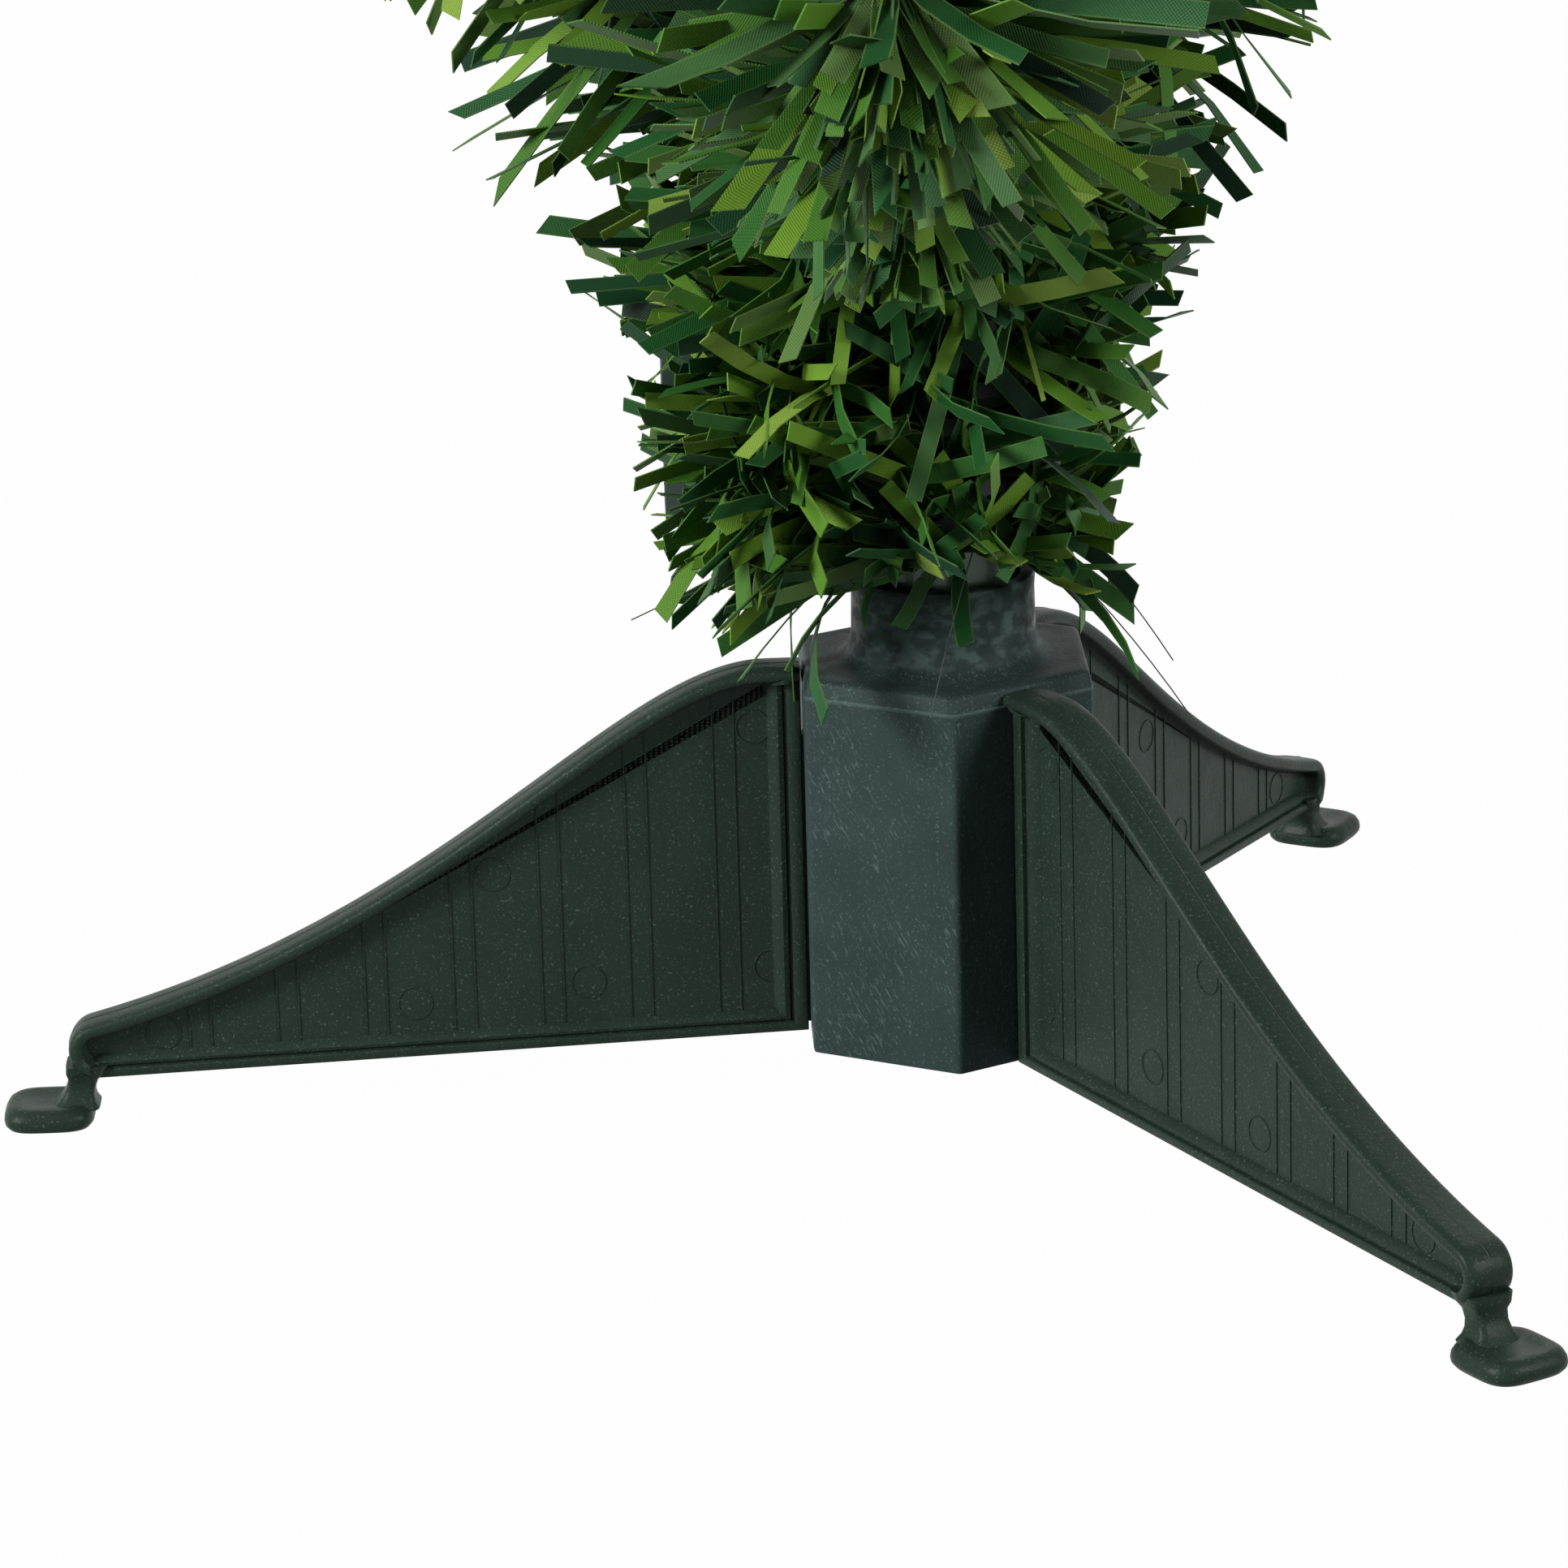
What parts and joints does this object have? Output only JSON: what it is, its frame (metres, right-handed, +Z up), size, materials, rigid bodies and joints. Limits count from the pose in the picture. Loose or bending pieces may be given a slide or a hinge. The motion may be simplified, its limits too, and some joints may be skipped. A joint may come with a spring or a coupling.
{
  "type": "pre-lit artificial christmas tree",
  "caption": "Small artificial Christmas tree with a built-in light string, wired branches that fold, a lift-out trunk and a three-legged moulded stand.",
  "frame": {"origin": "on the floor, on the trunk's axis", "axes": "+Z up the trunk; the front of the tree faces -Y, and one leg points along -X"},
  "size_m": [0.374, 0.4346, 0.895],
  "materials": {
    "stand_plastic": "moulded, satin, wiped",
    "leg_plastic": "moulded, fine grain",
    "painted_steel": "green paint on steel tube",
    "twisted_wire": "green twisted wire",
    "pvc_needles": "cut PVC strip, several greens",
    "light_lead": "green insulation",
    "green_plastic": "moulded",
    "box_plastic": "moulded, satin",
    "cell_jacket": "plain jacket",
    "switch_plastic": "black, satin"
  },
  "bodies": {
    "stand": {"stand_hub": "stand_plastic"},
    "leg_left": {"leg_left": "leg_plastic"},
    "leg_front": {"leg_front": "leg_plastic"},
    "leg_back": {"leg_back": "leg_plastic"},
    "trunk": {"trunk_pole": "painted_steel", "trunk_needles": "pvc_needles", "top_plug": "green_plastic", "crown_wire": "twisted_wire", "crown_needles": "pvc_needles", "trunk_light_string": "light_lead", "battery_case": "box_plastic", "battery_cell_upper": "cell_jacket", "battery_cell_lower": "cell_jacket"},
    "battery_cover": {"battery_cover": "box_plastic"},
    "battery_switch": {"battery_switch": "switch_plastic"},
    "branch_01": {"branch_01_wire": "twisted_wire", "branch_01_needles": "pvc_needles", "branch_01_lights": "light_lead"},
    "branch_02": {"branch_02_wire": "twisted_wire", "branch_02_needles": "pvc_needles", "branch_02_lights": "light_lead"},
    "branch_03": {"branch_03_wire": "twisted_wire", "branch_03_needles": "pvc_needles", "branch_03_lights": "light_lead"},
    "branch_04": {"branch_04_wire": "twisted_wire", "branch_04_needles": "pvc_needles", "branch_04_lights": "light_lead"},
    "branch_05": {"branch_05_wire": "twisted_wire", "branch_05_needles": "pvc_needles", "branch_05_lights": "light_lead"},
    "branch_06": {"branch_06_wire": "twisted_wire", "branch_06_needles": "pvc_needles", "branch_06_lights": "light_lead"},
    "branch_07": {"branch_07_wire": "twisted_wire", "branch_07_needles": "pvc_needles", "branch_07_lights": "light_lead"},
    "branch_08": {"branch_08_wire": "twisted_wire", "branch_08_needles": "pvc_needles", "branch_08_lights": "light_lead"},
    "branch_09": {"branch_09_wire": "twisted_wire", "branch_09_needles": "pvc_needles", "branch_09_lights": "light_lead"},
    "branch_10": {"branch_10_wire": "twisted_wire", "branch_10_needles": "pvc_needles", "branch_10_lights": "light_lead"},
    "branch_11": {"branch_11_wire": "twisted_wire", "branch_11_needles": "pvc_needles", "branch_11_lights": "light_lead"},
    "branch_12": {"branch_12_wire": "twisted_wire", "branch_12_needles": "pvc_needles", "branch_12_lights": "light_lead"},
    "branch_13": {"branch_13_wire": "twisted_wire", "branch_13_needles": "pvc_needles", "branch_13_lights": "light_lead"},
    "branch_14": {"branch_14_wire": "twisted_wire", "branch_14_needles": "pvc_needles", "branch_14_lights": "light_lead"},
    "branch_15": {"branch_15_wire": "twisted_wire", "branch_15_needles": "pvc_needles", "branch_15_lights": "light_lead"}
  },
  "joints": [
    {"name": "leg_left_slide", "type": "slide", "parent": "stand", "child": "leg_left", "axis": [0, 0, -1], "range_m": [0, 0.042]},
    {"name": "leg_front_slide", "type": "slide", "parent": "stand", "child": "leg_front", "axis": [0, 0, -1], "range_m": [0, 0.042]},
    {"name": "leg_back_slide", "type": "slide", "parent": "stand", "child": "leg_back", "axis": [0, 0, -1], "range_m": [0, 0.042]},
    {"name": "trunk_lift", "type": "slide", "parent": "stand", "child": "trunk", "axis": [0, 0, 1], "range_m": [0, 0.058]},
    {"name": "cover_pull", "type": "slide", "parent": "trunk", "child": "battery_cover", "axis": [0, 1, 0], "range_m": [0, 0.02]},
    {"name": "switch_slide", "type": "slide", "parent": "trunk", "child": "battery_switch", "axis": [0, 0, 1], "range_m": [0, 0.003]},
    {"name": "branch_01_fold", "type": "hinge", "parent": "trunk", "child": "branch_01", "pos_m": [-0.00108, -0.01546, 0.116], "axis": [-0.9976, 0.0698, 0], "range_deg": [-15, 58], "deforming": ["branch_01_needles", "trunk_needles"]},
    {"name": "branch_02_fold", "type": "hinge", "parent": "trunk", "child": "branch_02", "pos_m": [0.01285, -0.00867, 0.14], "axis": [-0.5592, -0.829, 0], "range_deg": [-41, 32], "deforming": ["branch_02_needles", "trunk_needles"]},
    {"name": "branch_03_fold", "type": "hinge", "parent": "trunk", "child": "branch_03", "pos_m": [0.01393, 0.00679, 0.128], "axis": [0.4384, -0.8988, 0], "range_deg": [-43, 30], "deforming": ["branch_03_needles", "trunk_needles"]},
    {"name": "branch_04_fold", "type": "hinge", "parent": "trunk", "child": "branch_04", "pos_m": [0.00108, 0.01546, 0.116], "axis": [0.9976, -0.0698, 0], "range_deg": [-15, 58], "deforming": ["branch_04_needles", "trunk_needles"]},
    {"name": "branch_05_fold", "type": "hinge", "parent": "trunk", "child": "branch_05", "pos_m": [-0.01285, 0.00867, 0.14], "axis": [0.5592, 0.829, 0], "range_deg": [-41, 32], "deforming": ["branch_05_needles", "trunk_needles"]},
    {"name": "branch_06_fold", "type": "hinge", "parent": "trunk", "child": "branch_06", "pos_m": [-0.01393, -0.00679, 0.128], "axis": [-0.4384, 0.8988, 0], "range_deg": [-43, 30], "deforming": ["branch_06_needles", "trunk_needles"]},
    {"name": "branch_07_fold", "type": "hinge", "parent": "trunk", "child": "branch_07", "pos_m": [0.0053, -0.01456, 0.28], "axis": [-0.9397, -0.342, 0], "range_deg": [-13, 60], "deforming": ["branch_07_needles", "trunk_needles"]},
    {"name": "branch_08_fold", "type": "hinge", "parent": "trunk", "child": "branch_08", "pos_m": [0.01527, -0.00269, 0.28], "axis": [-0.1736, -0.9848, 0], "range_deg": [-13, 60], "deforming": ["branch_08_needles", "trunk_needles"]},
    {"name": "branch_09_fold", "type": "hinge", "parent": "trunk", "child": "branch_09", "pos_m": [0.00996, 0.01187, 0.28], "axis": [0.766, -0.6428, 0], "range_deg": [-13, 60], "deforming": ["branch_09_needles", "trunk_needles"]},
    {"name": "branch_10_fold", "type": "hinge", "parent": "trunk", "child": "branch_10", "pos_m": [-0.0053, 0.01456, 0.28], "axis": [0.9397, 0.342, 0], "range_deg": [-13, 60], "deforming": ["branch_10_needles", "trunk_needles"]},
    {"name": "branch_11_fold", "type": "hinge", "parent": "trunk", "child": "branch_11", "pos_m": [-0.01527, 0.00269, 0.28], "axis": [0.1736, 0.9848, 0], "range_deg": [-13, 60], "deforming": ["branch_11_needles", "trunk_needles"]},
    {"name": "branch_12_fold", "type": "hinge", "parent": "trunk", "child": "branch_12", "pos_m": [-0.00996, -0.01187, 0.28], "axis": [-0.766, 0.6428, 0], "range_deg": [-13, 60], "deforming": ["branch_12_needles", "trunk_needles"]},
    {"name": "branch_13_fold", "type": "hinge", "parent": "trunk", "child": "branch_13", "pos_m": [0.00911, -0.01254, 0.42], "axis": [-0.809, -0.5878, 0], "range_deg": [-21, 52], "deforming": ["branch_13_needles", "trunk_needles"]},
    {"name": "branch_14_fold", "type": "hinge", "parent": "trunk", "child": "branch_14", "pos_m": [0.0063, 0.01416, 0.42], "axis": [0.9135, -0.4067, 0], "range_deg": [-21, 52], "deforming": ["branch_14_needles", "trunk_needles"]},
    {"name": "branch_15_fold", "type": "hinge", "parent": "trunk", "child": "branch_15", "pos_m": [-0.01541, -0.00162, 0.42], "axis": [-0.1045, 0.9945, 0], "range_deg": [-21, 52], "deforming": ["branch_15_needles", "trunk_needles"]}
  ]
}
